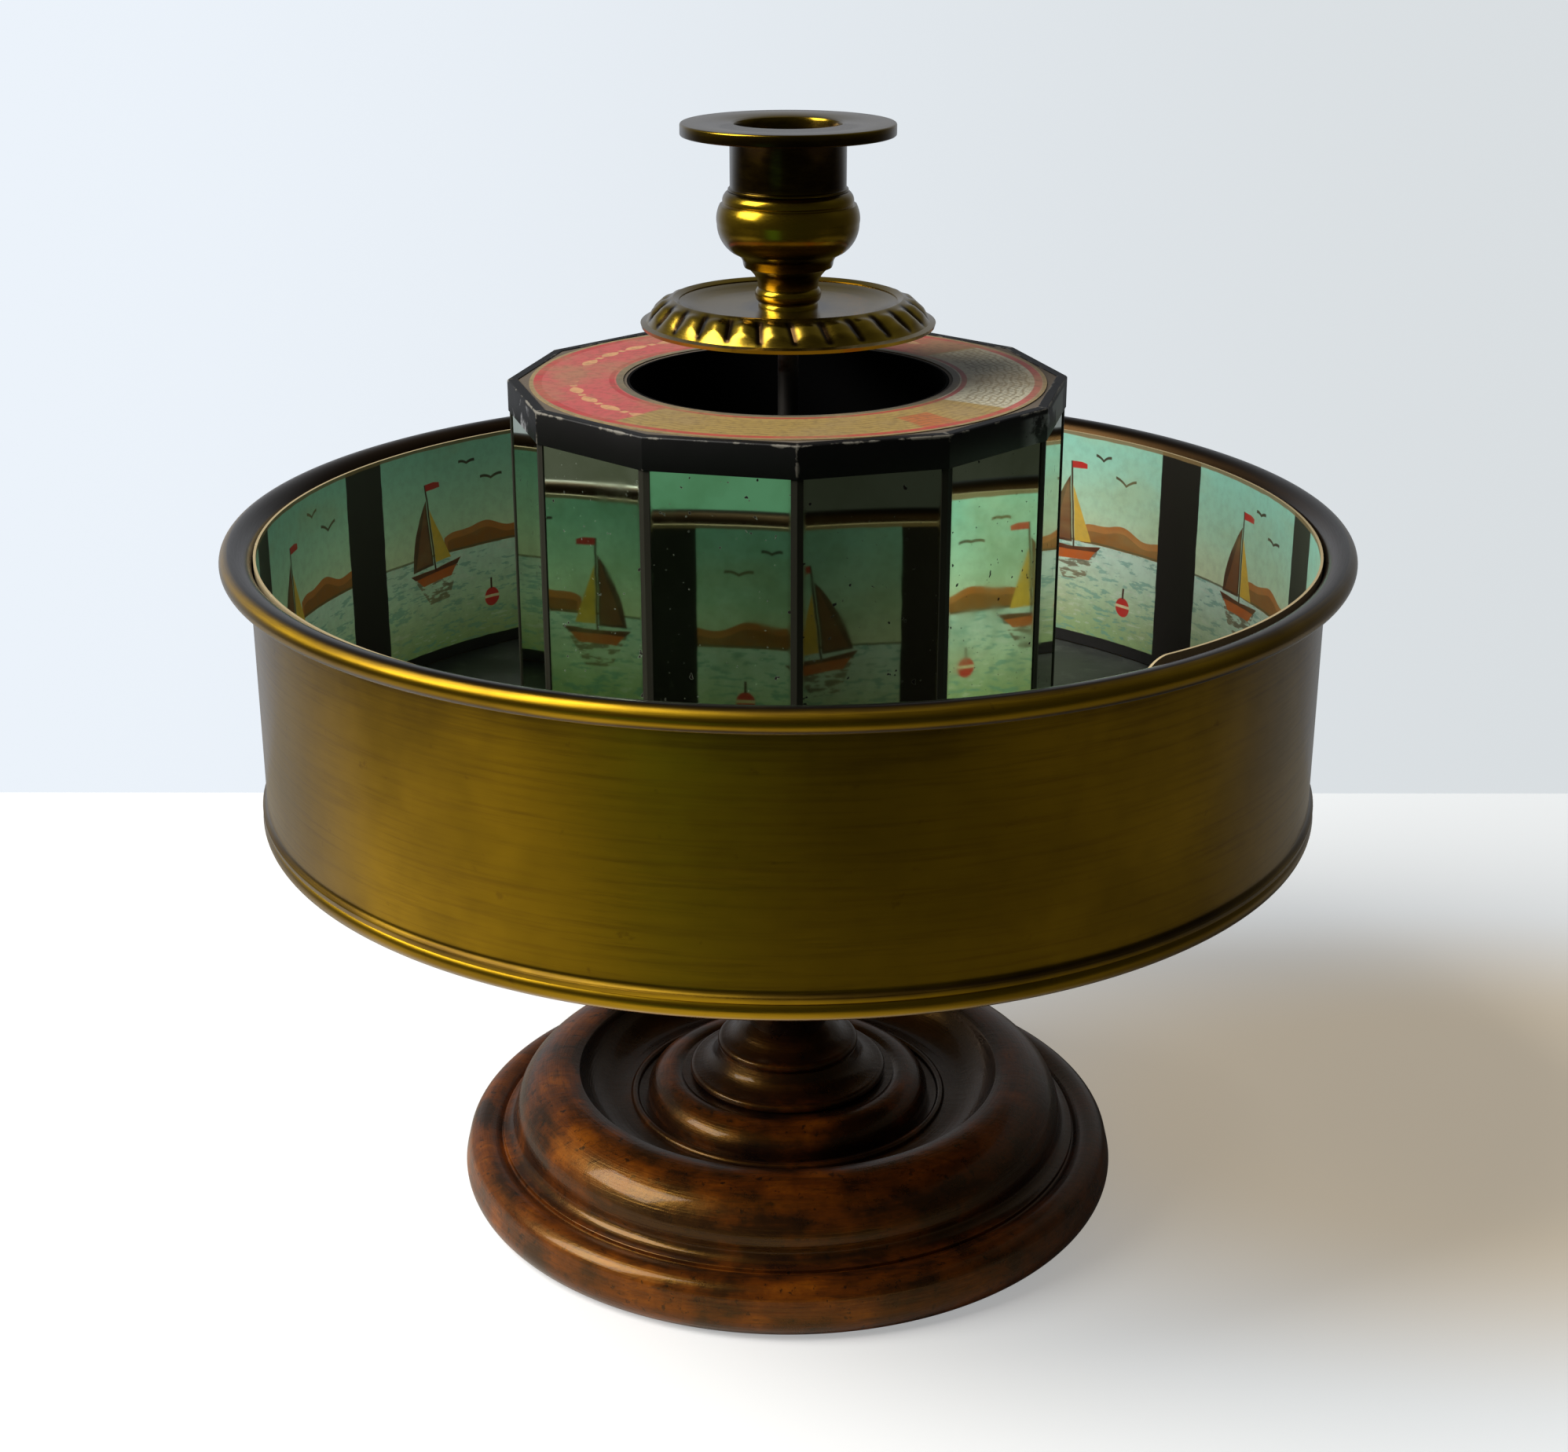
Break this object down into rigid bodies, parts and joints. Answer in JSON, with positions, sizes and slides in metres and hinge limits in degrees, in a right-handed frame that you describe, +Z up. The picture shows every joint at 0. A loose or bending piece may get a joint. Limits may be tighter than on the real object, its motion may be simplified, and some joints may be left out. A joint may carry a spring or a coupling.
{
  "type": "praxinoscope",
  "caption": "Hand-spun praxinoscope: a brass drum with a picture strip and a prism of mirrors turns on a spindle in a turned wooden foot, below a candle holder.",
  "frame": {"origin": "on the drum's axis, at the underside of the foot", "axes": "+Z up along the axis that the drum turns about; -Y towards the viewer of the picture, +X to the viewer's right"},
  "size_m": [0.22, 0.22, 0.2208],
  "materials": {
    "turned_wood": "French-polished fruitwood, reddish brown, dark in the hollows and worn to orange on the rolls",
    "spindle_steel": "turned steel, dull",
    "hub_brass": "turned brass, dull",
    "drum_brass": "brushed sheet brass under old olive-gold lacquer, with dark tarnish along the beads",
    "rim_wire_steel": "drawn iron wire inside the rolled rim",
    "floor_paint": "sheet metal painted dull black",
    "bush_bronze": "turned bronze, oiled",
    "core_card": "pasteboard",
    "mirror_glass": "old silvered glass with a green tint and black specks",
    "black_paper": "black glazed paper, chipped to grey at the edges",
    "cap_card": "pasteboard, edges dark",
    "printed_label": "printed paper ring in faded red, ochre and grey",
    "printed_strip": "printed card strip, turquoise frames between black bars",
    "holder_brass": "cast and spun brass, lacquered, dark in the hollows"
  },
  "bodies": {
    "base": {"foot": "turned_wood", "column": "turned_wood", "spindle": "spindle_steel", "spindle_washer": "spindle_steel", "spindle_nut": "spindle_steel", "thrust_collar": "hub_brass"},
    "drum": {"drum_wall": "drum_brass", "rim_wire": "rim_wire_steel", "floor_pan": "floor_paint", "hub": "hub_brass", "hub_bush": "bush_bronze", "hub_rivets": "hub_brass", "prism_core": "core_card", "mirror_01": "mirror_glass", "mirror_02": "mirror_glass", "mirror_03": "mirror_glass", "mirror_04": "mirror_glass", "mirror_05": "mirror_glass", "mirror_06": "mirror_glass", "mirror_07": "mirror_glass", "mirror_08": "mirror_glass", "mirror_09": "mirror_glass", "mirror_10": "mirror_glass", "mirror_11": "mirror_glass", "mirror_12": "mirror_glass", "corner_tapes": "black_paper", "base_band": "black_paper", "inner_tube": "black_paper", "cap_board": "cap_card", "cap_band": "black_paper", "cap_label": "printed_label"},
    "strip": {"picture_strip": "printed_strip"},
    "holder": {"holder_ferrule": "holder_brass", "drip_pan": "holder_brass", "candle_cup": "holder_brass"}
  },
  "joints": [
    {"name": "drum_spin", "type": "hinge", "parent": "base", "child": "drum", "pos_m": [0, 0, 0.0853], "axis": [0, 0, 1], "continuous": true},
    {"name": "strip_lift", "type": "slide", "parent": "drum", "child": "strip", "axis": [0, 0, 1], "range_m": [0, 0.06]},
    {"name": "holder_lift", "type": "slide", "parent": "base", "child": "holder", "axis": [0, 0, 1], "range_m": [0, 0.04]}
  ]
}
